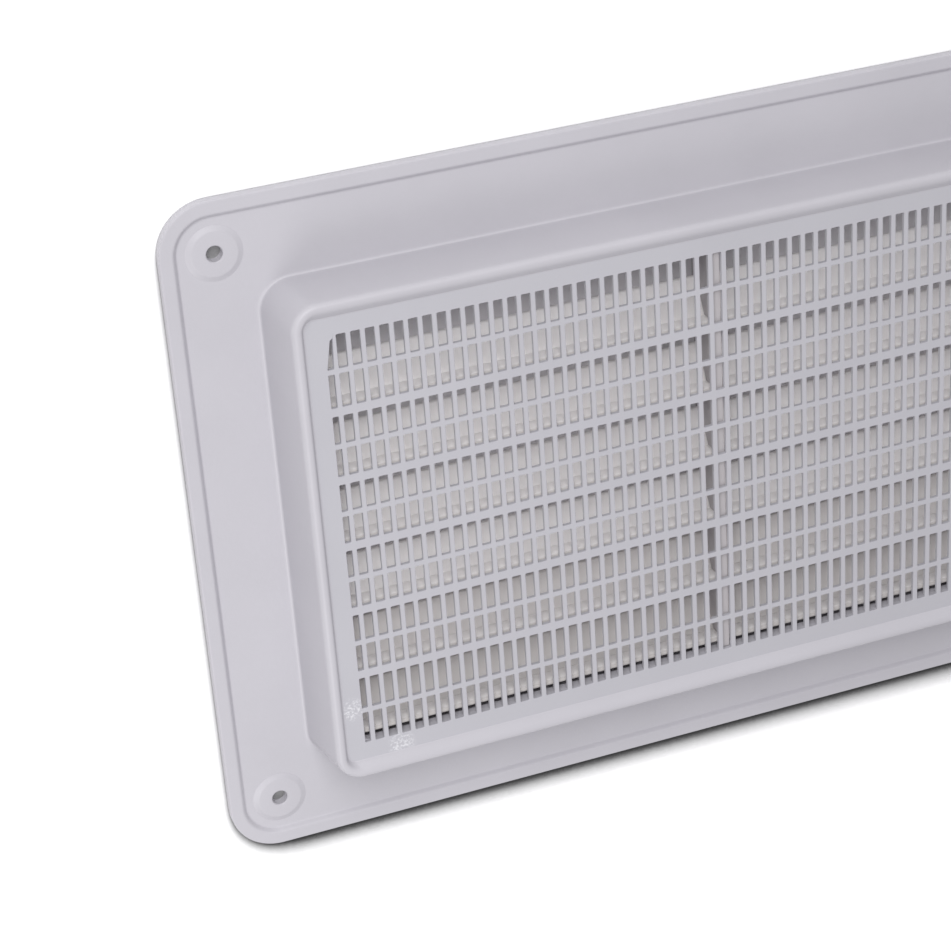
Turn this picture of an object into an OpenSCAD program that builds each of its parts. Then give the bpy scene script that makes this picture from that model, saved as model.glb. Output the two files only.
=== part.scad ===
// Ventilation grille for a wall or soffit: a flanged box frame with a slotted
// screen recessed in its rim, and fixed louvre blades held in combs behind it.
// Lengths are in millimetres. The flange lies on Z = 0, the grille's centre is
// the origin, X runs along its length and the slotted face looks along +Z.

/* [Flange] */
// Length of the flange
flange_l = 300; // [270:1:336]
// Width of the flange
flange_w = 200; // [180:1:224]
// Width of the flange outside the box at its two ends
border_x = 25.4; // [24:0.1:32]
// Width of the flange outside the box along its two long sides
border_y = 25.6; // [24:0.1:32]
// Corner radius of the flange
flange_r = 14.5; // [8:0.5:18]
// Thickness of the flange plate
flange_t = 2.5; // [1.8:0.1:3]
// Width of the flat top of the raised lip round the flange
lip_w = 3.9; // [2.5:0.1:4.5]
// Width of the slope on the inner side of the lip
lip_slope = 1.4; // [0.5:0.1:2]
// Height of the raised lip over the flange plate
lip_h = 1.3; // [0.5:0.1:2]

/* [Fixing holes] */
// Distance from the edges of the flange to the fixing holes
hole_inset = 15; // [13:0.5:17]
// Diameter of the fixing holes
hole_d = 4.5; // [3.5:0.1:6]
// Diameter of the raised pad round each fixing hole
pad_d = 15.8; // [11:0.1:17]
// Height of the raised pad over the flange plate
pad_h = 0.9; // [0.5:0.1:2]
// Width of the bevel round each pad
pad_bevel = 0.8; // [0.4:0.1:1.2]

/* [Box] */
// Corner radius of the box where it meets the flange
box_r = 9; // [6:0.5:11]
// Corner radius of the crest
crest_r = 7.5; // [6.5:0.1:9]
// Height of the box crest over the flange plate
box_h = 19; // [18.5:0.5:24]
// Inward lean of each end wall over the height of the box
lean_x = 3.3; // [0.5:0.1:4]
// Inward lean of each long wall over the height of the box
lean_y = 1.3; // [0.1:0.1:2]
// Thickness of the box walls
wall_t = 2.5; // [2:0.1:2.8]
// Width of the crest
crest_t = 2.4; // [2:0.1:3]
// Width of the slope from the crest down to the screen panel at its two ends
rim_slope_x = 0.6; // [0.3:0.1:2]
// Width of the slope from the crest down to the screen panel along its two long sides
rim_slope_y = 2; // [1:0.1:3]
// Depth of the screen panel below the crest
rim_h = 2; // [1:0.25:3]
// Rounding of the crest
crest_round = 1.4; // [0.4:0.1:1.6]
// Size of the fillet between the box and the flange
foot_fillet = 0.6; // [0.3:0.1:1.5]
// Thickness of the ledge that carries the screen panel
ledge_t = 2.8; // [2:0.1:3.5]
// Corner radius of the opening in the ledge
ledge_r = 2; // [1:0.5:3]

/* [Screen] */
// Thickness of the screen panel
panel_t = 1.2; // [1:0.1:2]
// Margin between the pocket and the slotted field at its two ends
margin_x = 5.8; // [4:0.05:8]
// Margin between the pocket and the slotted field along its two long sides
margin_y = 5.65; // [5:0.05:9]
// Number of slot columns
cols = 57; // [41:2:57]
// Width of the bar between two slot columns
col_bar = 1.2; // [1:0.1:1.6]
// Extra height of the slots in the top and bottom groups
end_extra = 1.6; // [0:0.1:2.5]
// Height of the thin bar inside a group of slots
thin_bar = 1.3; // [1:0.1:1.6]
// Height of the thick bar between groups of slots
thick_bar = 2.3; // [2:0.1:2.8]
// Amount by which the outermost columns are narrowed
edge_trim = 0.9; // [0.5:0.1:1.4]
// Radius of the top two corners of the slotted field
field_r = 5; // [3:0.5:7]

/* [Louvre blades] */
// Number of blades, and of groups of slots
blades = 6; // [4:2:6]
// Thickness of a blade
blade_t = 1.6; // [1.2:0.1:2]
// Depth of the straight shelf of a blade, along Z
shelf_d = 4.8; // [3:0.1:5]
// Depth of the sloping part of a blade, along Z
slope_d = 5.1; // [4:0.1:5.5]
// Rise of the sloping part of a blade, along Y
slope_rise = 9.9; // [7:0.1:10]
// Gap between the screen panel and the shelves
shelf_gap = 0.8; // [0.6:0.1:2]
// Height of the middle of a shelf over the middle of its thick bar
shelf_lift = 0.5; // [0:0.1:1]

/* [Combs] */
// Thickness of the end combs
end_comb_t = 3; // [2.6:0.1:3.6]
// Depth of the grooves in the end combs
groove_d = 2; // [1.2:0.1:2]
// Distance from the edge of the ledge opening to the end combs
comb_inset = 0.8; // [0.5:0.1:1.2]
// Thickness of the centre comb
centre_comb_t = 2.4; // [2:0.1:3.2]
// Margin of comb material behind the blades
comb_margin = 1.2; // [1:0.1:1.6]
// Thickness of the fixing ears
ear_t = 2.8; // [2:0.1:3.2]
// Diameter of the fixing ears
ear_d = 8; // [7:0.1:8.2]

/* [Comb screws] */
// Diameter of the posts that the combs are screwed to
post_d = 6.4; // [5.6:0.1:6.8]
// Distance from the edge of the ledge opening to the middle of a post
post_inset = 3.4; // [3.3:0.1:3.6]
// Diameter of the screw shank
screw_d = 2.6; // [2.2:0.1:3]
// Length of the screw shank
screw_l = 9; // [7:0.5:9.5]
// Diameter of the screw head
head_d = 5.6; // [4.8:0.1:6]
// Height of the screw head
head_h = 1.9; // [1.4:0.1:2.2]

/* [Clearances] */
// Clearance round the screen panel
panel_gap = 0.15; // [0.05:0.05:0.3]
// Clearance round a blade in a comb
blade_gap = 0.12; // [0.05:0.01:0.25]
// Clearance between the centre comb and its neighbours
comb_gap = 0.2; // [0.1:0.05:0.3]
// Diametral clearance of the screw shanks in the posts
thread_gap = 0.1; // [0.06:0.02:0.2]
// Diametral clearance of the screw shanks in the ears
ear_gap = 0.6; // [0.3:0.1:1]

/* [Hidden] */
$fn = 64;
eps = 0.5;

// Heights along Z
crest_z = flange_t + box_h;
panel_top_z = crest_z - rim_h;
panel_z = panel_top_z - panel_t;
ledge_z = panel_z - ledge_t;

// Box where it meets the flange, its rim and the pocket for the screen panel
box_l = flange_l - 2 * border_x;
box_w = flange_w - 2 * border_y;
crest_l = box_l - 2 * lean_x;
crest_w = box_w - 2 * lean_y;
rim_l = crest_l - 2 * crest_t;
rim_w = crest_w - 2 * crest_t;
rim_r = crest_r - crest_t;
pocket_l = rim_l - 2 * rim_slope_x;
pocket_w = rim_w - 2 * rim_slope_y;
pocket_r = rim_r - rim_slope_y;

// Slotted field: the slots share out what the bars leave of it
field_l = pocket_l - 2 * margin_x;
field_w = pocket_w - 2 * margin_y;
col_pitch = (field_l + col_bar + 2 * edge_trim) / cols;
slot_w = col_pitch - col_bar;
slot_h = (field_w - blades * thin_bar - (blades - 1) * thick_bar - 4 * end_extra) / (2 * blades);
end_slot_h = slot_h + end_extra;
group_pitch = 2 * slot_h + thin_bar + thick_bar;
top_bar_y = (blades / 2 - 1) * group_pitch;

// Centre line of a blade, as points in Y and Z
blade_pts = [[shelf_lift, panel_z - shelf_gap - blade_t / 2],
             [shelf_lift, panel_z - shelf_gap - blade_t / 2 - shelf_d],
             [shelf_lift + slope_rise, panel_z - shelf_gap - blade_t / 2 - shelf_d - slope_d]];
comb_z = blade_pts[2].y - blade_t / 2 - comb_margin;
comb_x = field_l / 2 + comb_inset;
blade_end_x = comb_x + groove_d - blade_gap;
post_x = comb_x + end_comb_t / 2;
post_y = field_w / 2 + post_inset;
post_z = comb_z + ear_t;

// Y of the thick bar that blade number i lies behind, counted from the top
function blade_y(i) = top_bar_y - i * group_pitch;

// Y of the thin bar in group number g, counted from the top
function group_y(g) =
    let (end_y = top_bar_y + thick_bar / 2 + end_slot_h + thin_bar / 2)
    g == 0 ? end_y : g == blades - 1 ? -end_y : top_bar_y + (0.5 - g) * group_pitch;

// Height of the two rows of slots in group number g
function row_h(g) = (g == 0 || g == blades - 1) ? end_slot_h : slot_h;

// Size of the box's outside at a given height, where n is the size at its foot
function leaned(n, lean, z) = n - 2 * lean * (z - flange_t) / box_h;

module rounded_rect(l, w, r) {
    square([l - 2 * r, w], center = true);
    square([l, w - 2 * r], center = true);
    for (sx = [-1, 1], sy = [-1, 1])
        translate([sx * (l / 2 - r), sy * (w / 2 - r)]) circle(r);
}

module plate(l, w, r, z, h) {
    translate([0, 0, z]) linear_extrude(h) rounded_rect(l, w, r);
}

// Thin slice of the box's outside, used as one end of a hull
module slice(l, w, r, z) {
    translate([0, 0, z]) linear_extrude(0.01) rounded_rect(l, w, r, $fn = 32);
}

module at_fixings() {
    for (sx = [-1, 1], sy = [-1, 1])
        translate([sx * (flange_l / 2 - hole_inset), sy * (flange_w / 2 - hole_inset), 0]) children();
}

module at_posts() {
    for (x = [-post_x, 0, post_x], sy = [-1, 1])
        translate([x, sy * post_y, 0]) children();
}

module box_outside() {
    round_z = crest_z - crest_round;
    hull() {
        slice(box_l, box_w, box_r, flange_t);
        slice(leaned(box_l, lean_x, round_z), leaned(box_w, lean_y, round_z), crest_r, round_z);
        slice(crest_l - crest_round, crest_w - crest_round, crest_r - crest_round / 2, crest_z - 0.01);
    }
    hull() {
        slice(box_l + 2 * foot_fillet, box_w + 2 * foot_fillet, box_r + foot_fillet, flange_t);
        slice(box_l, box_w, box_r, flange_t + foot_fillet);
    }
}

// Room inside the lip, wider at its top than at the flange
module lip_inside() {
    foot = lip_w + lip_slope;
    hull() {
        slice(flange_l - 2 * foot, flange_w - 2 * foot, flange_r - foot, flange_t);
        slice(flange_l - 2 * lip_w, flange_w - 2 * lip_w, flange_r - lip_w, flange_t + lip_h);
    }
}

// Room inside the rim, wider at the crest than at the screen panel
module rim_inside() {
    hull() {
        slice(pocket_l, pocket_w, pocket_r, panel_top_z);
        slice(rim_l, rim_w, rim_r, crest_z);
    }
}

// Hollow of the box below the ledge, open at the back of the flange
module box_inside() {
    hull() {
        slice(leaned(box_l, lean_x, 0) - 2 * wall_t, leaned(box_w, lean_y, 0) - 2 * wall_t,
              box_r - wall_t / 2, -eps);
        slice(leaned(box_l, lean_x, ledge_z) - 2 * wall_t, leaned(box_w, lean_y, ledge_z) - 2 * wall_t,
              box_r - wall_t / 2, ledge_z - 0.01);
    }
}

module frame() {
    color("#cdcbd3") difference() {
        union() {
            plate(flange_l, flange_w, flange_r, 0, flange_t);
            difference() {
                plate(flange_l, flange_w, flange_r, flange_t, lip_h);
                lip_inside();
            }
            at_fixings() cylinder(d = pad_d, h = flange_t);
            at_fixings() translate([0, 0, flange_t])
                cylinder(d1 = pad_d, d2 = pad_d - 2 * pad_bevel, h = pad_h);
            difference() {
                box_outside();
                plate(pocket_l, pocket_w, pocket_r, panel_z, crest_z);
                rim_inside();
            }
        }
        difference() {
            box_inside();
            at_posts() translate([0, 0, post_z]) cylinder(d = post_d, h = crest_z);
        }
        plate(field_l, field_w, ledge_r, ledge_z - eps, crest_z);
        at_fixings() translate([0, 0, -eps]) cylinder(d = hole_d, h = crest_z);
        at_posts() translate([0, 0, post_z - eps])
            cylinder(d = screw_d + thread_gap, h = screw_l - ear_t + 2 * eps);
    }
}

// One column of slots, narrowed on its outer side where it is the last one
module slot_column(c) {
    x = (c - (cols - 1) / 2) * col_pitch;
    x0 = max(x - slot_w / 2, -field_l / 2);
    x1 = min(x + slot_w / 2, field_l / 2);
    for (g = [0 : blades - 1], up = [0, 1])
        translate([x0, group_y(g) + (up == 1 ? thin_bar / 2 : -thin_bar / 2 - row_h(g))])
            square([x1 - x0, row_h(g)]);
}

module screen_panel() {
    color("#cbcbd6") translate([0, 0, panel_z]) linear_extrude(panel_t) difference() {
        rounded_rect(pocket_l - 2 * panel_gap, pocket_w - 2 * panel_gap, pocket_r - panel_gap);
        for (c = [1 : cols - 2]) slot_column(c);
        intersection() {
            union() {
                rounded_rect(field_l, field_w, field_r);
                translate([-field_l / 2, -field_w / 2]) square([field_l, field_w / 2]);
            }
            for (c = [0, cols - 1]) slot_column(c);
        }
    }
}

// Section of a blade in Y and Z: a line of the given width through its points
module blade_section(width) {
    for (i = [0 : len(blade_pts) - 1]) translate(blade_pts[i]) circle(d = width);
    for (i = [0 : len(blade_pts) - 2]) {
        a = blade_pts[i];
        b = blade_pts[i + 1];
        translate(a) rotate(atan2(b.y - a.y, b.x - a.x))
            translate([0, -width / 2]) square([norm(b - a), width]);
    }
}

// A bar of blade section between two places along X, at blade number i
module blade_bar(i, x0, x1, width) {
    translate([x0, blade_y(i), 0]) rotate([90, 0, 90]) linear_extrude(x1 - x0) blade_section(width);
}

// The ends of a blade are relieved where they pass under the ledge
module louvre(i) {
    relief_x = field_l / 2 - comb_gap;
    relief_z = ledge_z - comb_gap;
    color("#d3cfc8") difference() {
        blade_bar(i, -blade_end_x, blade_end_x, blade_t);
        for (s = [-1, 1]) translate([s * (relief_x + blade_end_x), blade_y(i), relief_z + crest_z])
            cube([2 * blade_end_x, group_pitch, 2 * crest_z], center = true);
    }
}

// Two fixing ears of a comb, drawn about x = 0
module ears() {
    for (sy = [-1, 1]) translate([0, sy * post_y, comb_z]) {
        cylinder(d = ear_d, h = ear_t);
        translate([-ear_d / 2, sy > 0 ? -ear_d / 2 : 0, 0]) cube([ear_d, ear_d / 2, ear_t]);
    }
}

module ear_holes() {
    for (sy = [-1, 1]) translate([0, sy * post_y, comb_z - eps])
        cylinder(d = screw_d + ear_gap, h = ear_t + 2 * eps);
}

module end_comb(side) {
    color("#c3c1c8") difference() {
        translate([side * post_x, 0, 0]) {
            ears();
            translate([-end_comb_t / 2, -field_w / 2, comb_z])
                cube([end_comb_t, field_w, ledge_z - comb_z]);
        }
        for (i = [0 : blades - 1])
            if (side < 0) blade_bar(i, -comb_x - groove_d, -comb_x + eps, blade_t + 2 * blade_gap);
            else blade_bar(i, comb_x - eps, comb_x + groove_d, blade_t + 2 * blade_gap);
        translate([side * post_x, 0, 0]) ear_holes();
    }
}

module comb_left() { end_comb(-1); }

module comb_right() { end_comb(1); }

module comb_centre() {
    color("#a9a8b2") difference() {
        union() {
            ears();
            translate([-centre_comb_t / 2, -field_w / 2 + comb_gap, comb_z])
                cube([centre_comb_t, field_w - 2 * comb_gap, panel_z - comb_gap - comb_z]);
        }
        for (i = [0 : blades - 1])
            blade_bar(i, -centre_comb_t, centre_comb_t, blade_t + 2 * blade_gap);
        ear_holes();
    }
}

// Self-tapping pan head screws with a cross recess, driven from the back
module comb_screws() {
    color("#b9bbbd") at_posts() difference() {
        union() {
            translate([0, 0, comb_z]) cylinder(d = screw_d, h = screw_l);
            translate([0, 0, comb_z - head_h]) cylinder(d1 = head_d - head_h / 2, d2 = head_d, h = head_h);
        }
        for (a = [0, 90]) translate([0, 0, comb_z - head_h]) rotate(a)
            cube([head_d / 2, head_h / 3, head_h], center = true);
    }
}

frame();
screen_panel();
louvre(0);  // louvre_1
louvre(1);  // louvre_2
louvre(2);  // louvre_3
louvre(3);  // louvre_4
louvre(4);  // louvre_5
louvre(5);  // louvre_6
comb_left();
comb_centre();
comb_right();
comb_screws();
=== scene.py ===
import math

import bmesh
import bpy
from mathutils import Matrix, Vector


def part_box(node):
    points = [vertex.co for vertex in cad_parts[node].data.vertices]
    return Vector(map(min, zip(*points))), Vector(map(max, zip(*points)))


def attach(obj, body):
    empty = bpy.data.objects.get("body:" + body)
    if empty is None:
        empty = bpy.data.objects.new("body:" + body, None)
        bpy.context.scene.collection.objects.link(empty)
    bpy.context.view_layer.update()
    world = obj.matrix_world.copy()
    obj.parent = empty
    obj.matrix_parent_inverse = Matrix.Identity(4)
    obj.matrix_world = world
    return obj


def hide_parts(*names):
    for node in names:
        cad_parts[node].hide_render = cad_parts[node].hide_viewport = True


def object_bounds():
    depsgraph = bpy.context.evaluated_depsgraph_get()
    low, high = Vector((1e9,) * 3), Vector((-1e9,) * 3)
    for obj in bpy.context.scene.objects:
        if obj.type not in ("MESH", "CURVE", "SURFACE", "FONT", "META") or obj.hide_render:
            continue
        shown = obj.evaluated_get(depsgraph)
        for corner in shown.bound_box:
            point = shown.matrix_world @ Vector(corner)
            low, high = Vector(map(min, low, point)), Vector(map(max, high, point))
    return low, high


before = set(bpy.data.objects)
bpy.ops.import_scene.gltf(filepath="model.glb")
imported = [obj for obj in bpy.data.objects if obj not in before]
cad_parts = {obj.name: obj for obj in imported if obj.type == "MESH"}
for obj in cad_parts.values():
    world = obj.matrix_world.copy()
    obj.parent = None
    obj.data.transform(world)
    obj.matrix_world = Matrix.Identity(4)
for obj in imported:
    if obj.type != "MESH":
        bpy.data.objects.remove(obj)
cad_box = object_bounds()
scene = bpy.context.scene
scene.view_settings.view_transform = "Standard"
MM = 0.001

# Camera: looks down on the slotted face from beyond the top left corner, with
# a long lens, so that the left two thirds of the grille fill the square
# picture and the right end runs out of it.
CAMERA_EYE = Vector((-282.6, 354.45, 639.36)) * MM
CAMERA_AIM = Vector((-73.9, 12.7, 19.5)) * MM
CAMERA_TURN = math.radians(4.06)
CAMERA_LENS = 102.37
CAMERA_SENSOR = 36


def add_object(name, data):
    """A new object in the scene, for a mesh, a lamp or a camera."""
    made = bpy.data.objects.new(name, data)
    scene.collection.objects.link(made)
    return made


camera_data = bpy.data.cameras.new("camera")
camera_data.lens = CAMERA_LENS
camera_data.sensor_width = CAMERA_SENSOR
camera = add_object("camera", camera_data)
look = (CAMERA_AIM - CAMERA_EYE).normalized()
across = look.cross(Vector((math.sin(CAMERA_TURN), math.cos(CAMERA_TURN), 0))).normalized()
upward = across.cross(look)
camera.matrix_world = (Matrix.Translation(CAMERA_EYE)
                       @ Matrix((across, upward, -look)).transposed().to_4x4())
scene.camera = camera

# Floor: a wide sheet of white studio paper that the grille lies on, with a
# white card on it under the box. Both are scenery and no part of the grille.
FLOOR_DROP = 0.1 * MM
FLOOR_R = 4.0
SHADOW_REACH = 14 * MM
LIT_SIDE = {"X": -0.45, "Y": 0.75, "Z": 0.5}
CARD_INSET = 22 * MM


def srgb(text):
    """Linear colour of an sRGB hex value."""
    parts = [int(text[i:i + 2], 16) / 255 for i in (0, 2, 4)]
    return [p / 12.92 if p <= 0.04045 else ((p + 0.055) / 1.055) ** 2.4 for p in parts] + [1]


def node(tree, kind, props=None, values=None, links=None):
    """Adds a node to a tree, with its properties, its inputs' values and what feeds them."""
    made = tree.nodes.new(kind)
    for name, value in (props or {}).items():
        setattr(made, name, value)
    for name, value in (values or {}).items():
        made.inputs[name].default_value = value
    for name, source in (links or {}).items():
        tree.links.new(source, made.inputs[name])
    return made


def blank_material(name):
    """A new material with an empty tree."""
    made = bpy.data.materials.new(name)
    made.use_nodes = True
    made.node_tree.nodes.clear()
    return made


def seen_rays(tree):
    """1 where the background is seen directly, in a gloss or through glass, else 0."""
    path = node(tree, "ShaderNodeLightPath")
    direct = node(tree, "ShaderNodeMath", {"operation": "MAXIMUM"}, None,
                  {0: path.outputs["Is Camera Ray"], 1: path.outputs["Is Glossy Ray"]})
    return node(tree, "ShaderNodeMath", {"operation": "MAXIMUM"}, None,
                {0: direct.outputs[0], 1: path.outputs["Is Transmission Ray"]}).outputs[0]


def finished_mesh(bm, name):
    """Turns a bmesh into a mesh and frees it."""
    mesh = bpy.data.meshes.new(name)
    bm.to_mesh(mesh)
    bm.free()
    return mesh


# Matt white paper: it has no gloss, and the camera sees it as plain white, with a painted contact shadow by
# the grille
paper = blank_material("matt white paper")
tree = paper.node_tree
plain = node(tree, "ShaderNodeBsdfDiffuse", None, {"Color": srgb("e6e6e6")})
# painted shadow: the paper's colour is darkened where the grille rises close by on its lit side, as a
# contact shadow
lit_side = node(tree, "ShaderNodeCombineXYZ", None, LIT_SIDE)
near = node(tree, "ShaderNodeAmbientOcclusion", {"samples": 32}, {"Distance": SHADOW_REACH},
            {"Normal": lit_side.outputs[0]})
shade = node(tree, "ShaderNodeMapRange", None, {"From Min": 0.68, "From Max": 1.06, "To Min": 0.03},
             {"Value": near.outputs["AO"]})
# painted light: deep in the screw holes the paper's colour is lifted again, as if the pale walls lit it
painted_hole_light = node(tree, "ShaderNodeMapRange", None,
               {"From Min": 0.5, "From Max": 0.58, "To Min": 0.17, "To Max": 0},
               {"Value": near.outputs["AO"]})
painted_paper_shading = node(tree, "ShaderNodeMath", {"operation": "MAXIMUM"}, None,
                  {0: shade.outputs["Result"], 1: painted_hole_light.outputs["Result"]})
# added to itself, so that the paper still reaches white where the lamps are weak
bright = node(tree, "ShaderNodeBsdfDiffuse", None, None, {"Color": painted_paper_shading.outputs[0]})
seen = node(tree, "ShaderNodeAddShader", None, None, {0: bright.outputs[0], 1: bright.outputs[0]})
mixed = node(tree, "ShaderNodeMixShader", None, None,
             {0: seen_rays(tree), 1: plain.outputs[0], 2: seen.outputs[0]})
node(tree, "ShaderNodeOutputMaterial", None, None, {"Surface": mixed.outputs[0]})

bm = bmesh.new()
bmesh.ops.create_circle(bm, cap_ends=True, segments=64, radius=FLOOR_R,
                        matrix=Matrix.Translation((0, 0, cad_box[0].z - FLOOR_DROP)))
floor = add_object("floor", finished_mesh(bm, "floor"))
floor.data.materials.append(paper)

# Matt white card: the slots show it pale, though it lies in the grille's own shadow
board = bpy.data.materials.new("matt white card")
board.use_nodes = True
board.node_tree.nodes["Principled BSDF"].inputs["Base Color"].default_value = srgb("e9e7ea")
board.node_tree.nodes["Principled BSDF"].inputs["Roughness"].default_value = 0.95
card_mesh = bpy.data.meshes.new("card")
card_x, card_y = cad_box[1].x - CARD_INSET, cad_box[1].y - CARD_INSET
card_mesh.from_pydata([(sx * card_x, sy * card_y, cad_box[0].z - FLOOR_DROP / 2)
                       for sx, sy in ((-1, -1), (1, -1), (1, 1), (-1, 1))], [], [(0, 1, 2, 3)])
card_mesh.materials.append(board)
card = add_object("card", card_mesh)

# Light: a large soft box above the picture and a little to its left, a small
# one close by at the bottom left, and a dim pale room round them. Both boxes
# are near enough for the light to fall off to the right.
SOFT_BOXES = [
    # angle from +Y towards -X and height in degrees, distance and size in metres, power in watts
    ("key soft box", 22, 46, 1.0, 0.6, 6.65),
    ("fill soft box", 140, 48, 0.42, 0.2, 0.5),
]
ROOM_STRENGTH = 0.53
for name, around, height, away, size, energy in SOFT_BOXES:
    lamp_data = bpy.data.lights.new(name, "AREA")
    lamp_data.shape = "SQUARE"
    lamp_data.size = size
    lamp_data.energy = energy
    lamp = add_object(name, lamp_data)
    around, height = math.radians(around), math.radians(height)
    towards = Vector((-math.sin(around) * math.cos(height), math.cos(around) * math.cos(height),
                      math.sin(height)))
    lamp.location = CAMERA_AIM + towards * away
    lamp.rotation_euler = (-towards).to_track_quat("-Z", "Y").to_euler()
world = bpy.data.worlds.new("pale room")
world.use_nodes = True
tree = world.node_tree
tree.nodes.clear()
room = node(tree, "ShaderNodeBackground", None, {"Color": srgb("f5f4f7"), "Strength": ROOM_STRENGTH})
white = node(tree, "ShaderNodeBackground", None, {"Color": srgb("ffffff"), "Strength": 1})
mixed = node(tree, "ShaderNodeMixShader", None, None,
             {0: seen_rays(tree), 1: room.outputs[0], 2: white.outputs[0]})
node(tree, "ShaderNodeOutputWorld", None, None, {"Surface": mixed.outputs[0]})
scene.world = world

# Frame: one moulding of light grey ABS, with the flange, its raised lip, and
# the box with its rim and the ledge for the screen. One closed section runs
# all round it, and then pads, posts, holes and bores are joined on and cut.
frame_lo, frame_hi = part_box("frame")
panel_lo, panel_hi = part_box("screen_panel")
screw_lo, screw_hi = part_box("comb_screws")
FLANGE_L, FLANGE_W = (frame_hi.x - frame_lo.x) / MM, (frame_hi.y - frame_lo.y) / MM
FLANGE_R = 14.5
FLANGE_T = 2.5
LIP_W, LIP_SLOPE, LIP_H = 3.8, 1.1, 1.3
BORDER_X, BORDER_Y = 25.4, 25.6
BOX_R = 9
LEAN_X, LEAN_Y = 3.3, 1.3
WALL_T = 2.5
CREST_Z = frame_hi.z / MM
CREST_R = 7.5
CREST_T = 2.4
RIM_SLOPE_X, RIM_SLOPE_Y = 0.6, 2.0
# the cove fills the corner between rim and panel, and ends just clear of the panel
RIM_COVE, COVE_H, COVE_GAP = 0.5, 0.4, 0.01
PANEL_Z, PANEL_TOP = panel_lo.z / MM, panel_hi.z / MM
PANEL_GAP = 0.1
LEDGE_T = 2.8
MARGIN_X, MARGIN_Y = 5.8, 5.65
LEDGE_R = 2
HOLE_INSET = 15
HOLE_R = 2.25
PAD_R, PAD_BEVEL, PAD_H = 7.9, 1.3, 0.65
# the posts stand over the combs' ears and the heads of their screws
HEAD_R = 2.8
EAR_T = 2.8
POST_R = 3.2
BORE_R = 1.35
BORE_TOP = 14.3
CORNER_STEPS = 14

LIP_Z = FLANGE_T + LIP_H
PAD_Z = FLANGE_T + PAD_H
LEDGE_Z = PANEL_Z - LEDGE_T
POST_X, POST_Y = screw_hi.x / MM - HEAD_R, screw_hi.y / MM - HEAD_R
POST_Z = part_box("comb_left")[0].z / MM + EAR_T
FOOT_L, FOOT_W = FLANGE_L / 2 - BORDER_X, FLANGE_W / 2 - BORDER_Y
CREST_L, CREST_W = FOOT_L - LEAN_X, FOOT_W - LEAN_Y
POCKET_L, POCKET_W = CREST_L - CREST_T - RIM_SLOPE_X, CREST_W - CREST_T - RIM_SLOPE_Y
POCKET_R = CREST_R - CREST_T - RIM_SLOPE_Y
FIELD_L, FIELD_W = POCKET_L - MARGIN_X, POCKET_W - MARGIN_Y


def inner_wall(z):
    """Half length, half width and corner radius inside the box at a height."""
    share = (z - FLANGE_T) / (CREST_Z - FLANGE_T)
    return FOOT_L - LEAN_X * share - WALL_T, FOOT_W - LEAN_Y * share - WALL_T, BOX_R - WALL_T / 2


def flange(inset):
    """Half length, half width and corner radius of the flange, moved in by an inset."""
    return FLANGE_L / 2 - inset, FLANGE_W / 2 - inset, FLANGE_R - inset


def crest(inset):
    """Half length, half width and corner radius of the box's crest, moved in by an inset."""
    return CREST_L - inset, CREST_W - inset, CREST_R - inset


def pocket(inset):
    """Half length, half width and corner radius of the screen's pocket, moved in by an inset."""
    return POCKET_L - inset, POCKET_W - inset, POCKET_R - inset


def rounded_loop(half_l, half_w, radius, z):
    """Points of a rounded rectangle in millimetres, anticlockwise seen from above."""
    points = []
    for quarter, (sx, sy) in enumerate(((1, 1), (-1, 1), (-1, -1), (1, -1))):
        for step in range(CORNER_STEPS + 1):
            a = math.pi / 2 * (quarter + step / CORNER_STEPS)
            points.append(Vector((sx * (half_l - radius) + radius * math.cos(a),
                                  sy * (half_w - radius) + radius * math.sin(a), z)) * MM)
    return points


def softened(corners):
    """Loops for a closed section, with each corner rounded by the size and steps it gives."""
    loops = []
    for i, (*corner, size, steps) in enumerate(corners):
        here = Vector(corner)
        if not steps:
            loops.append(here)
            continue
        ends = []
        for other in (corners[i - 1], corners[(i + 1) % len(corners)]):
            way = Vector(other[:4]) - here
            ends.append((way, min(size / max(abs(way[0]), abs(way[3])), 0.49)))
        # both are shares of the way to the next corner on that side
        (back, t0), (on, t1) = ends
        # one more loop just off a small rounding keeps the shading of the flat beside it flat
        if t0 < 0.3:
            loops.append(here + back * t0 * 1.5)
        for step in range(steps + 1):
            u = step / steps
            loops.append(here + back * t0 * (1 - u) ** 2 + on * t1 * u ** 2)
        if t1 < 0.3:
            loops.append(here + on * t1 * 1.5)
    return loops


def skinned(bm, rows):
    """Makes the faces between each ring of points and the next ring of as many points."""
    for a, b in zip(rows, rows[1:]):
        for i in range(len(a)):
            j = (i + 1) % len(a)
            bm.faces.new((a[i], a[j], b[j], b[i]))


def turned(name, section, centre, steps=40):
    """A solid of revolution about Z from (radius, height) points that run from axis to axis."""
    bm = bmesh.new()
    rows = []
    for radius, z in section[1:-1]:
        rows.append([bm.verts.new(Vector((centre[0] + radius * math.cos(math.tau * i / steps),
                                          centre[1] + radius * math.sin(math.tau * i / steps), z)) * MM)
                     for i in range(steps)])
    skinned(bm, rows)
    for row, z in ((rows[0], section[0][1]), (rows[-1], section[-1][1])):
        tip = bm.verts.new(Vector((centre[0], centre[1], z)) * MM)
        for i in range(steps):
            bm.faces.new((row[i], row[(i + 1) % steps], tip))
    bmesh.ops.recalc_face_normals(bm, faces=bm.faces)
    return finished_mesh(bm, name)


def combined(mesh, operation, tools):
    """The mesh after a boolean with each of the tool meshes."""
    body = add_object("body", mesh)
    helpers = []
    for tool_mesh in tools:
        helper = add_object("tool", tool_mesh)
        helpers.append(helper)
        step = body.modifiers.new("step", "BOOLEAN")
        step.operation = operation
        step.solver = "EXACT"
        step.object = helper
    graph = bpy.context.evaluated_depsgraph_get()
    done = bpy.data.meshes.new_from_object(body.evaluated_get(graph))
    for helper in helpers + [body]:
        bpy.data.objects.remove(helper)
    return done


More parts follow.
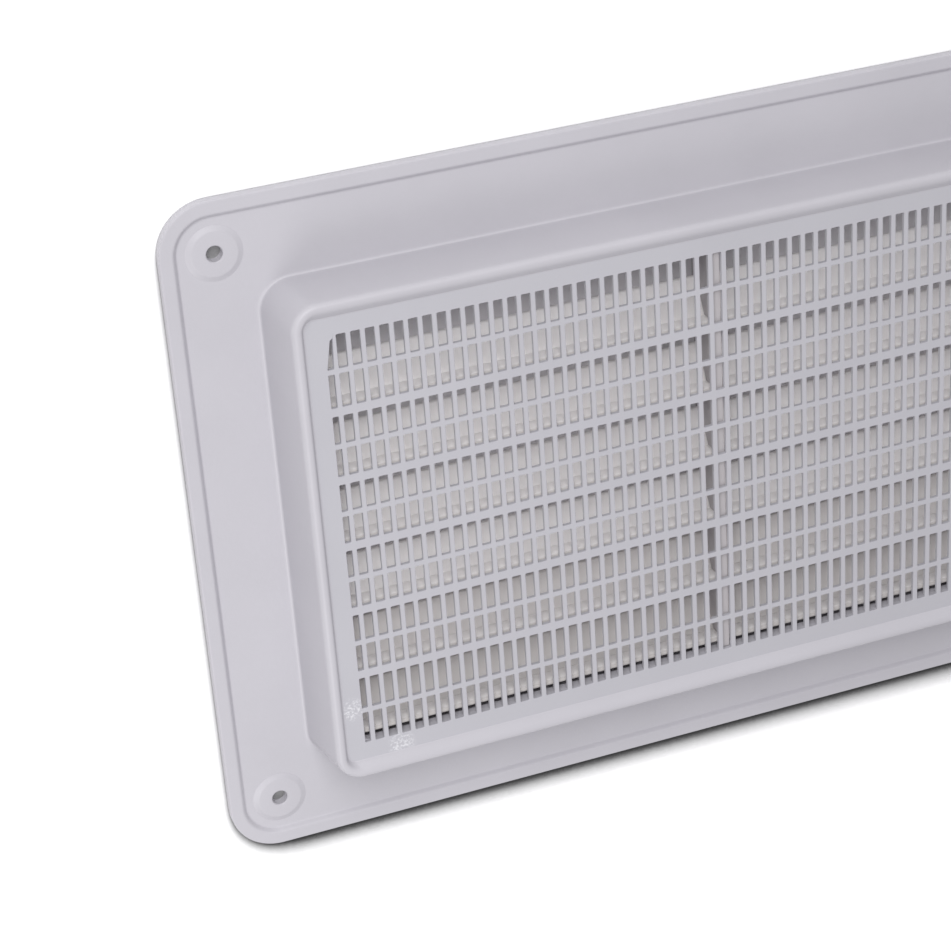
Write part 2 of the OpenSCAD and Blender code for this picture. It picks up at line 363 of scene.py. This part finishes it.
FRAME_SECTION = [
    # half length, half width, corner radius, height, size and steps of the rounding
    (*inner_wall(0), 0, 0.3, 1),
    (*flange(0), 0, 1.2, 4),
    (*flange(0), LIP_Z, 0.4, 3),
    (*flange(LIP_W), LIP_Z, 0.4, 3),
    (*flange(LIP_W + LIP_SLOPE), FLANGE_T, 0.25, 2),
    (FOOT_L, FOOT_W, BOX_R, FLANGE_T, 0.7, 3),
    (*crest(0), CREST_Z, 1.9, 7),
    (*crest(CREST_T), CREST_Z, 1.0, 5),
    (*pocket(0), PANEL_TOP + COVE_H, 0.4, 3),
    (*pocket(0.4 * RIM_COVE), PANEL_TOP + 0.3 * COVE_H, 0.25, 2),
    (*pocket(RIM_COVE), PANEL_TOP + 1.5 * COVE_GAP, 0, 0),
    (*pocket(0), PANEL_TOP + COVE_GAP, 0, 0),
    (*pocket(0), PANEL_Z, 0, 0),
    (FIELD_L, FIELD_W, LEDGE_R, PANEL_Z, 0.2, 1),
    (FIELD_L, FIELD_W, LEDGE_R, LEDGE_Z, 0.2, 1),
    (*inner_wall(LEDGE_Z), LEDGE_Z, 0.4, 2),
]
bm = bmesh.new()
rings = [[bm.verts.new(point) for point in rounded_loop(*loop)] for loop in softened(FRAME_SECTION)]
skinned(bm, rings + rings[:1])
bmesh.ops.recalc_face_normals(bm, faces=bm.faces)
frame_mesh = finished_mesh(bm, "frame_moulding")

hole_places = [(sx * (FLANGE_L / 2 - HOLE_INSET), sy * (FLANGE_W / 2 - HOLE_INSET))
               for sx in (-1, 1) for sy in (-1, 1)]
post_places = [(x, sy * POST_Y) for x in (-POST_X, 0, POST_X) for sy in (-1, 1)]
# radius and height from axis to axis: pads and posts reach a little into the frame, holes and bores
# out of it, and points that lie close together soften an edge
pad_section = [(0, 0.5), (PAD_R, 0.5), (PAD_R, FLANGE_T + 0.03), (PAD_R - 0.2, FLANGE_T + 0.1),
               (PAD_R - PAD_BEVEL, PAD_Z - 0.13), (PAD_R - PAD_BEVEL - 0.2, PAD_Z - 0.03),
               (PAD_R - PAD_BEVEL - 0.5, PAD_Z), (0, PAD_Z)]
post_section = [(0, POST_Z), (POST_R - 0.2, POST_Z), (POST_R, POST_Z + 0.2), (POST_R, LEDGE_Z + 0.02),
                (0, LEDGE_Z + 0.02)]
hole_section = [(0, -1), (HOLE_R + 1, -1), (HOLE_R, 0.2), (HOLE_R, PAD_Z - 0.25),
                (HOLE_R + 1.25, PAD_Z + 1), (0, PAD_Z + 1)]
bore_section = [(0, POST_Z - 1), (BORE_R + 1, POST_Z - 1), (BORE_R, POST_Z + 0.2), (BORE_R, BORE_TOP),
                (0, BORE_TOP + 0.6)]
added = [turned("pad", pad_section, at) for at in hole_places]
added += [turned("post", post_section, at, 28) for at in post_places]
cuts = [turned("hole", hole_section, at) for at in hole_places]
cuts += [turned("bore", bore_section, at, 20) for at in post_places]
frame_mesh = combined(combined(frame_mesh, "UNION", added), "DIFFERENCE", cuts)

# Moulded ABS: a satin skin, because the mould was lightly eroded, with a faint slow change of colour;
# the grain is drawn coarser than it is
CLOUD, GRAIN, GRAIN_DEPTH = 28, 0.9, 0.03
GLOSS_SPREAD = 0.06


def moulded(name, light, dark, roughness):
    """ABS from a spark-eroded mould. Returns the material, its tint and the plastic's own node."""
    made = blank_material(name)
    tree = made.node_tree
    place = node(tree, "ShaderNodeTexCoord").outputs["Object"]
    cloud = node(tree, "ShaderNodeTexNoise", None, {"Scale": 1 / (CLOUD * MM), "Detail": 3},
                 {"Vector": place})
    tint = node(tree, "ShaderNodeMix", {"data_type": "RGBA"}, {"A": srgb(dark), "B": srgb(light)},
                {"Factor": cloud.outputs["Fac"]})
    grain = node(tree, "ShaderNodeTexNoise", None, {"Scale": 1 / (GRAIN * MM), "Detail": 2},
                 {"Vector": place})
    gloss = node(tree, "ShaderNodeMapRange", None,
                 {"To Min": roughness - GLOSS_SPREAD, "To Max": roughness + GLOSS_SPREAD},
                 {"Value": grain.outputs["Fac"]})
    relief = node(tree, "ShaderNodeBump", None, {"Strength": 1, "Distance": GRAIN_DEPTH * MM},
                  {"Height": grain.outputs["Fac"]})
    plastic = node(tree, "ShaderNodeBsdfPrincipled", None, {"IOR": 1.54},
                   {"Base Color": tint.outputs["Result"], "Roughness": gloss.outputs["Result"],
                    "Normal": relief.outputs["Normal"]})
    node(tree, "ShaderNodeOutputMaterial", None, None, {"Surface": plastic.outputs[0]})
    return made, tint, plastic


def piece(name, mesh, material, cad_node):
    """Puts a mesh into the scene as a finished piece that stands for a CAD node."""
    made = add_object(name, mesh)
    mesh.materials.clear()
    mesh.materials.append(material)
    mesh.shade_smooth()
    mesh.set_sharp_from_angle(angle=math.radians(32))
    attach(made, "root")
    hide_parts(cad_node)


frame_abs = moulded("moulded ABS light grey", "c0bec4", "b8b6bc", 0.46)[0]
piece("frame_moulding", frame_mesh, frame_abs, "frame")

# Screen panel: a flat plate of the same grey ABS with 57 columns of moulded
# slots, welded to the ledge in the rim. A tree of nodes sets out the slots'
# cells, and a plain margin closes the plate round them.
COLUMNS = 57
COL_BAR = 1.2
GROUPS = 6
END_EXTRA = 1.6
THIN_BAR, THICK_BAR = 1.3, 2.3
EDGE_TRIM = 0.9
FIELD_R = 5
SLOT_R = 0.35
# a slot is a little wider at the face, and a little narrower below its softened edge
SLOT_SOFT = 0.15
SLOT_WIDER, SLOT_NARROWER = 0.03, 0.1
SLOT_STEPS = 2
PLATE_SOFT = 0.3
PLATE_STEPS = 8
MERGE = 0.01

COL_PITCH = (2 * FIELD_L + COL_BAR + 2 * EDGE_TRIM) / COLUMNS
SLOT_W = COL_PITCH - COL_BAR
SLOT_H = (2 * FIELD_W - GROUPS * THIN_BAR - (GROUPS - 1) * THICK_BAR - 4 * END_EXTRA) / (2 * GROUPS)
END_SLOT_H = SLOT_H + END_EXTRA
GROUP_PITCH = 2 * SLOT_H + THIN_BAR + THICK_BAR
END_GROUP_Y = (GROUPS / 2 - 1) * GROUP_PITCH + THICK_BAR / 2 + END_SLOT_H + THIN_BAR / 2
END_COLUMN_X = (COLUMNS - 1) / 2 * COL_PITCH


def slot_outline(x0, x1, y0, y1, wider):
    """Points of a slot with rounded corners, moved outwards from its edges by a width."""
    points = []
    for quarter, (cx, cy) in enumerate(((x1, y1), (x0, y1), (x0, y0), (x1, y0))):
        mx = cx - SLOT_R if cx == x1 else cx + SLOT_R
        my = cy - SLOT_R if cy == y1 else cy + SLOT_R
        for step in range(SLOT_STEPS + 1):
            a = math.pi / 2 * (quarter + step / SLOT_STEPS)
            points.append((mx + (SLOT_R + wider) * math.cos(a), my + (SLOT_R + wider) * math.sin(a)))
    return points


def cut_by_corner(x, y, wider):
    """A point of the top left slot, drawn back onto the field's rounded corner if it lies past it."""
    cx, cy = END_COLUMN_X - FIELD_L + FIELD_R, THIN_BAR / 2 + END_SLOT_H - FIELD_R
    away = Vector((x - cx, y - cy))
    if away.x < 0 and away.y > 0 and away.length > FIELD_R + wider:
        away = away.normalized() * (FIELD_R + wider)
        return cx + away.x, cy + away.y
    return x, y


def slot_cell(name, height, trim=0.0, below=False, right=False, rounded=False):
    """One cell: a slot in its share of the bars, centred on its column and resting on the thin bar.

    Trim narrows the slot at the left, rounded cuts its top left corner, and below and right mirror it.
    """
    top = THIN_BAR / 2 + height
    face, wall = (slot_outline(-SLOT_W / 2 + trim, SLOT_W / 2, THIN_BAR / 2, top, wider)
                  for wider in (SLOT_WIDER, -SLOT_NARROWER))
    if rounded:
        face = [cut_by_corner(x, y, SLOT_WIDER) for x, y in face]
        wall = [cut_by_corner(x, y, -SLOT_NARROWER) for x, y in wall]
    high = top + THICK_BAR / 2
    outer = [(COL_PITCH / 2, high), (-COL_PITCH / 2, high), (-COL_PITCH / 2, 0), (COL_PITCH / 2, 0)]
    bm = bmesh.new()
    rows = []
    for outline, z in ((outer, PANEL_TOP), (face, PANEL_TOP), (wall, PANEL_TOP - SLOT_SOFT),
                       (wall, PANEL_Z), (outer, PANEL_Z)):
        rows.append([bm.verts.new(Vector((-x if right else x, -y if below else y, z)) * MM)
                     for x, y in outline])
    # each outer corner is joined to the three points of the slot's corner beside it, and on to the next
    for ring, hole in ((rows[0], rows[1]), (rows[4], rows[3])):
        for quarter in range(4):
            here, after = ring[quarter], ring[(quarter + 1) % 4]
            a, b, c, d = (hole[((SLOT_STEPS + 1) * quarter + k) % len(hole)] for k in range(4))
            for triangle in ((here, a, b), (here, b, c), (here, c, after), (c, d, after)):
                bm.faces.new(triangle)
    skinned(bm, rows[1:4])
    return bpy.data.objects.new(name, finished_mesh(bm, name))


def sockets(tree, **inputs):
    """Gives a tree its named inputs and a geometry output, and returns its two end nodes."""
    for name, kind in inputs.items():
        tree.interface.new_socket(name.replace("_", " "), in_out="INPUT", socket_type="NodeSocket" + kind)
    tree.interface.new_socket("Geometry", in_out="OUTPUT", socket_type="NodeSocketGeometry")
    return node(tree, "NodeGroupInput"), node(tree, "NodeGroupOutput")


def grown(name, tree, **inputs):
    """Runs a tree of nodes with its inputs set, and returns what it makes as a plain mesh."""
    holder = add_object(name, bpy.data.meshes.new(name))
    maker = holder.modifiers.new("maker", "NODES")
    maker.node_group = tree
    ids = {s.name: s.identifier for s in tree.interface.items_tree
           if s.item_type == "SOCKET" and s.in_out == "INPUT"}
    for key, value in inputs.items():
        maker[ids[key.replace("_", " ")]] = value
    graph = bpy.context.evaluated_depsgraph_get()
    mesh = bpy.data.meshes.new_from_object(holder.evaluated_get(graph))
    bpy.data.objects.remove(holder)
    return mesh


def sent_out(tree, given, result, geometry):
    """Makes the copies in a tree real, gives them the tree's material and sends them out."""
    real = node(tree, "GeometryNodeRealizeInstances", None, None, {"Geometry": geometry})
    coated = node(tree, "GeometryNodeSetMaterial", None, None,
                  {"Geometry": real.outputs[0], "Material": given.outputs["Material"]})
    tree.links.new(coated.outputs[0], result.inputs[0])


rows_tree = bpy.data.node_groups.new("rows of slots", "GeometryNodeTree")
given, result = sockets(rows_tree, Cell="Object", Columns="Int", Column_span="Float", Rows="Int",
                        Row_span="Float", Offset="Vector", Turned_copy="Bool", Material="Material")
grid = node(rows_tree, "GeometryNodeMeshGrid", None, None,
            {"Size X": given.outputs["Column span"], "Size Y": given.outputs["Row span"],
             "Vertices X": given.outputs["Columns"], "Vertices Y": given.outputs["Rows"]})
shifted = node(rows_tree, "GeometryNodeTransform", None, None,
               {"Geometry": grid.outputs["Mesh"], "Translation": given.outputs["Offset"]})
cell = node(rows_tree, "GeometryNodeObjectInfo", None, None, {"Object": given.outputs["Cell"]})
placed = node(rows_tree, "GeometryNodeInstanceOnPoints", None, None,
              {"Points": shifted.outputs[0], "Instance": cell.outputs["Geometry"]})
# the cells' slots lie above the thin bars, and those of the copy turned half round lie below them
turned_round = node(rows_tree, "GeometryNodeTransform", None, {"Rotation": (0, 0, math.pi)},
                    {"Geometry": placed.outputs[0]})
copy = node(rows_tree, "GeometryNodeSwitch", {"input_type": "GEOMETRY"}, None,
            {"Switch": given.outputs["Turned copy"], "True": turned_round.outputs[0]})
both = node(rows_tree, "GeometryNodeJoinGeometry")
rows_tree.links.new(placed.outputs[0], both.inputs[0])
rows_tree.links.new(copy.outputs[0], both.inputs[0])
sent_out(rows_tree, given, result, both.outputs[0])

# Moulded ABS: as satin as the frame, drawn a little darker and bluer as painted shade for the plate down in
# the rim, with two rough whitish blooms on the margin near the bottom left corner, where it is welded down;
# their flecks are drawn coarser than they are
WELD_SPOTS = [
    # x and y, radius of the full bloom, radius where it ends
    (-115.4, -51.2, 2.0, 4.2),
    (-102.0, -66.2, 2.2, 4.6),
]
FLECK = 0.6
panel_abs, tint, plastic = moulded("moulded ABS grey, painted shade", "b9b8be", "b2b1b7", 0.5)
tree = panel_abs.node_tree
place = node(tree, "ShaderNodeTexCoord").outputs["Object"]
blooms = []
for x, y, full, end in WELD_SPOTS:
    off = node(tree, "ShaderNodeVectorMath", {"operation": "DISTANCE"},
               {1: Vector((x, y, PANEL_TOP)) * MM}, {0: place})
    blooms.append(node(tree, "ShaderNodeMapRange", None,
                       {"From Min": full * MM, "From Max": end * MM, "To Min": 1, "To Max": 0},
                       {"Value": off.outputs["Value"]}))
bloom = node(tree, "ShaderNodeMath", {"operation": "MAXIMUM"}, None,
             {0: blooms[0].outputs[0], 1: blooms[1].outputs[0]})
fleck = node(tree, "ShaderNodeTexNoise", None, {"Scale": 1 / (FLECK * MM), "Detail": 2},
             {"Vector": place})
flecks = node(tree, "ShaderNodeMapRange", None, {"From Min": 0.46, "From Max": 0.64, "To Max": 0.5},
              {"Value": fleck.outputs["Fac"]})
white = node(tree, "ShaderNodeMath", {"operation": "MULTIPLY"}, None,
             {0: bloom.outputs[0], 1: flecks.outputs[0]})
bloomed = node(tree, "ShaderNodeMix", {"data_type": "RGBA"}, {"B": srgb("eeeef1")},
               {"Factor": white.outputs[0], "A": tint.outputs["Result"]})
tree.links.new(bloomed.outputs["Result"], plastic.inputs["Base Color"])

MIDDLE_ROWS = (GROUPS - 2, (GROUPS - 3) * GROUP_PITCH)
END_ROWS = (2, 2 * END_GROUP_Y)
ONE_ROW = (1, 0)
runs = [
    # cell, columns, rows and their span, place, with a turned copy or not
    (slot_cell("cell", SLOT_H), COLUMNS - 2, MIDDLE_ROWS, (0, 0), True),
    (slot_cell("end cell", END_SLOT_H), COLUMNS - 2, END_ROWS, (0, 0), True),
]
for below in (False, True):
    y = END_GROUP_Y if below else -END_GROUP_Y
    side_cell = slot_cell("side cell", SLOT_H, EDGE_TRIM, below)
    inner_corner_cell = slot_cell("inner corner cell", END_SLOT_H, EDGE_TRIM, below)
    runs.append((side_cell, 1, MIDDLE_ROWS, (-END_COLUMN_X, 0), True))
    runs.append((inner_corner_cell, 1, ONE_ROW, (-END_COLUMN_X, y), True))
# only the top two corners of the field are rounded
for right in (False, True):
    x = END_COLUMN_X if right else -END_COLUMN_X
    top_corner_cell = slot_cell("top corner cell", END_SLOT_H, EDGE_TRIM, False, right, rounded=True)
    bottom_corner_cell = slot_cell("bottom corner cell", END_SLOT_H, EDGE_TRIM, True, right)
    runs.append((top_corner_cell, 1, ONE_ROW, (x, END_GROUP_Y), False))
    runs.append((bottom_corner_cell, 1, ONE_ROW, (x, -END_GROUP_Y), False))
bm = bmesh.new()
for cell_object, columns, (rows, row_span), (x, y), turned_copy in runs:
    slots = grown("slots", rows_tree, Cell=cell_object, Columns=columns,
                  Column_span=(columns - 1) * COL_PITCH * MM, Rows=rows, Row_span=row_span * MM,
                  Offset=Vector((x, y, 0)) * MM, Turned_copy=turned_copy, Material=panel_abs)
    bm.from_mesh(slots)
    bpy.data.objects.remove(cell_object)
bmesh.ops.remove_doubles(bm, verts=bm.verts, dist=MERGE * MM)

# the plain margin: each point on the edge of the cells is joined to the plate's own edge
edges = []
for z in (PANEL_TOP, PANEL_Z):
    edge = [v for v in bm.verts if v.is_boundary and abs(v.co.z - z * MM) < MERGE * MM]
    edge.sort(key=lambda v: math.atan2(v.co.y, v.co.x))
    edges.append(edge)


def onto_plate_edge(point, inset):
    """The places on the plate's rounded outline that lie across from a point on the cells' edge."""
    half_l, half_w, r = (size * MM for size in pocket(PANEL_GAP + inset))
    beside = abs(point.x) > (END_COLUMN_X + 0.4 * COL_PITCH) * MM
    past_end = abs(point.y) > (END_GROUP_Y + END_SLOT_H) * MM
    sx, sy = math.copysign(1, point.x), math.copysign(1, point.y)
    if beside and past_end:
        quarter = [math.pi / 2 * step / PLATE_STEPS for step in range(PLATE_STEPS + 1)]
        return [(sx * (half_l - r + r * math.cos(a)), sy * (half_w - r + r * math.sin(a))) for a in quarter]
    if beside:
        return [(sx * half_l, max(r - half_w, min(half_w - r, point.y)))]
    return [(max(r - half_l, min(half_l - r, point.x)), sy * half_w)]


def fan(edge, row):
    """Faces between the cells' edge and a row of places on the plate's outline."""
    for i, v in enumerate(edge):
        j = (i + 1) % len(edge)
        for a, b in zip(row[i], row[i][1:]):
            bm.faces.new((v, a, b))
        bm.faces.new((v, row[i][-1], row[j][0], edge[j]))


plate_rows = []
for edge, inset, z in ((edges[0], PLATE_SOFT, PANEL_TOP), (edges[0], 0, PANEL_TOP - PLATE_SOFT),
                       (edges[1], 0, PANEL_Z)):
    row = []
    for v in edge:
        spots = [bm.verts.new((x, y, z * MM)) for x, y in onto_plate_edge(v.co, inset)]
        # a corner's places run anticlockwise, as the points of the edge do
        if len(spots) > 1 and v.co.x * v.co.y < 0:
            spots.reverse()
        row.append(spots)
    plate_rows.append(row)
fan(edges[0], plate_rows[0])
fan(edges[1], plate_rows[2])
skinned(bm, [[v for spots in row for v in spots] for row in plate_rows])
bmesh.ops.recalc_face_normals(bm, faces=bm.faces)
piece("slotted_screen", finished_mesh(bm, "slotted_screen"), panel_abs, "screen_panel")

# Louvre blades: six strips of ABS, drawn warm white as painted light, the lower two greyer as painted
# shade.
# Each is a straight shelf close behind the screen, with a sloping upstand at the back,
# and is pushed into the grooves of the combs.
SHELF_DEPTH, EDGE_DEPTH = 4.6, 0.2
TONE_BLEND = 0.6


def blade_plastic(name, upstand, shelf, edge):
    """Moulded ABS with painted light and shade: a tone for a blade's upstand, its shelf and its edge under
    the screen.
    """
    made, tint, plastic = moulded(name, upstand, upstand, 0.5)
    tree = made.node_tree
    height = node(tree, "ShaderNodeSeparateXYZ", None, None,
                  {0: node(tree, "ShaderNodeTexCoord").outputs["Object"]})
    colour = tint.outputs["Result"]
    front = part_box("louvre_1")[1].z
    for depth, tone in ((SHELF_DEPTH, shelf), (EDGE_DEPTH, edge)):
        share = node(tree, "ShaderNodeMapRange", None,
                     {"From Min": front - (depth + TONE_BLEND) * MM, "From Max": front - depth * MM},
                     {"Value": height.outputs["Z"]})
        colour = node(tree, "ShaderNodeMix", {"data_type": "RGBA"}, {"B": srgb(tone)},
                      {"Factor": share.outputs[0], "A": colour}).outputs["Result"]
    tree.links.new(colour, plastic.inputs["Base Color"])
    return made


# Moulded ABS: as satin as the frame; painted light draws it nearly white, so that the blades, which stand
# in shade, shine pale through the slots, and painted shade darkens each front edge
upper_abs = blade_plastic("moulded ABS warm white", "faf7f6", "faf7f6", "c5c1bf")
# painted shade: the lower two blades get greyer upstands and darker front edges, the lowest the greyest
lower_abs = blade_plastic("moulded ABS pale, painted shade", "e8e4e2", "f6f3f2", "bdb9b7")
lowest_abs = blade_plastic("moulded ABS pale, deeper painted shade", "d8d4d2", "f6f3f2", "bdb9b7")
for number, blade_abs in enumerate([upper_abs] * (GROUPS - 2) + [lower_abs, lowest_abs], start=1):
    for material_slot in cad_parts[f"louvre_{number}"].material_slots:
        material_slot.material = blade_abs

# Combs: three grooved bars of grey ABS across the blades, one at each end and
# one in the middle. Each has an ear at its top and bottom for the screw.

# Moulded ABS: as satin as the frame, and a little darker as painted shade, for the shade the combs stand in
# behind the screen
comb_abs = moulded("moulded ABS mid grey", "b5b1b3", "aeaaac", 0.5)[0]
for name in ("comb_left", "comb_centre", "comb_right"):
    for material_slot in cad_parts[name].material_slots:
        material_slot.material = comb_abs

# Comb screws: six self-tapping pan head screws of zinc plated steel, driven
# from the back through the combs' ears into the frame's posts. One is turned
# with its thread and cross recess, and a tree of nodes sets out all six.
HEAD_H = 1.9
SHANK_R = 1.3
ROOT_R = SHANK_R * 0.75
THREAD_PITCH = 1.0
TIP_H = 1
RECESS_L, RECESS_W, RECESS_DEPTH = 3.2, 0.7, 1.1
RECESS_TAPER = 0.45
SCREW_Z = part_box("comb_left")[0].z / MM
SCREW_TOP = screw_hi.z / MM
HEAD_Z = SCREW_Z - HEAD_H

screw_section = [(0, HEAD_Z), (1.2, HEAD_Z), (2.1, SCREW_Z - HEAD_H * 0.86),
                 (2.65, SCREW_Z - HEAD_H * 0.5), (HEAD_R, SCREW_Z - HEAD_H * 0.15),
                 (HEAD_R - 0.1, SCREW_Z), (SHANK_R, SCREW_Z)]
turn_z = SCREW_Z + 0.6
while turn_z + THREAD_PITCH < SCREW_TOP - TIP_H:
    screw_section += [(ROOT_R, turn_z), (SHANK_R, turn_z + THREAD_PITCH * 0.45),
                      (ROOT_R, turn_z + THREAD_PITCH * 0.9)]
    turn_z += THREAD_PITCH
screw_section += [(ROOT_R, SCREW_TOP - TIP_H), (0.3, SCREW_TOP - 0.1), (0, SCREW_TOP)]
recess = []
for angle in (0, math.pi / 2):
    bm = bmesh.new()
    bmesh.ops.create_cube(bm, size=1, matrix=Matrix.Translation((0, 0, HEAD_Z * MM))
                          @ Matrix.Rotation(angle, 4, "Z")
                          @ Matrix.Diagonal((RECESS_L * MM, RECESS_W * MM, 2 * RECESS_DEPTH * MM, 1)))
    for v in bm.verts:
        if v.co.z > HEAD_Z * MM:
            v.co.x *= RECESS_TAPER
            v.co.y *= RECESS_TAPER
    recess.append(finished_mesh(bm, "recess"))
screw_mesh = combined(turned("screw", screw_section, (0, 0), 24), "DIFFERENCE", recess)
screw_model = bpy.data.objects.new("screw", screw_mesh)

screws_tree = bpy.data.node_groups.new("screws on the posts", "GeometryNodeTree")
given, result = sockets(screws_tree, Screw="Object", Columns="Int", Span_along="Float",
                        Span_across="Float", Material="Material")
grid = node(screws_tree, "GeometryNodeMeshGrid", None, {"Vertices Y": 2},
            {"Size X": given.outputs["Span along"], "Size Y": given.outputs["Span across"],
             "Vertices X": given.outputs["Columns"]})
model = node(screws_tree, "GeometryNodeObjectInfo", None, None, {"Object": given.outputs["Screw"]})
spin = node(screws_tree, "FunctionNodeRandomValue", {"data_type": "FLOAT_VECTOR"},
            {"Max": (0, 0, math.pi / 2), "Seed": 4})
placed = node(screws_tree, "GeometryNodeInstanceOnPoints", None, None,
              {"Points": grid.outputs["Mesh"], "Instance": model.outputs["Geometry"],
               "Rotation": spin.outputs["Value"]})
sent_out(screws_tree, given, result, placed.outputs[0])

# Zinc plated steel: bright and slightly blue, and a little mottled, as barrel plating is; the mottling
# is drawn coarser than it is
MOTTLE = 0.8
zinc = blank_material("zinc plated steel")
tree = zinc.node_tree
place = node(tree, "ShaderNodeTexCoord").outputs["Object"]
mottle = node(tree, "ShaderNodeTexNoise", None, {"Scale": 1 / (MOTTLE * MM), "Detail": 3},
              {"Vector": place})
tone = node(tree, "ShaderNodeMix", {"data_type": "RGBA"}, {"A": srgb("aeb2b6"), "B": srgb("c8cbce")},
            {"Factor": mottle.outputs["Fac"]})
gloss = node(tree, "ShaderNodeMapRange", None, {"To Min": 0.24, "To Max": 0.4},
             {"Value": mottle.outputs["Fac"]})
steel = node(tree, "ShaderNodeBsdfPrincipled", None, {"Metallic": 1},
             {"Base Color": tone.outputs["Result"], "Roughness": gloss.outputs["Result"]})
node(tree, "ShaderNodeOutputMaterial", None, None, {"Surface": steel.outputs[0]})
screws_mesh = grown("screws", screws_tree, Screw=screw_model, Columns=3, Span_along=2 * POST_X * MM,
                    Span_across=2 * POST_Y * MM, Material=zinc)
bpy.data.objects.remove(screw_model)
piece("pan_head_screws", screws_mesh, zinc, "comb_screws")
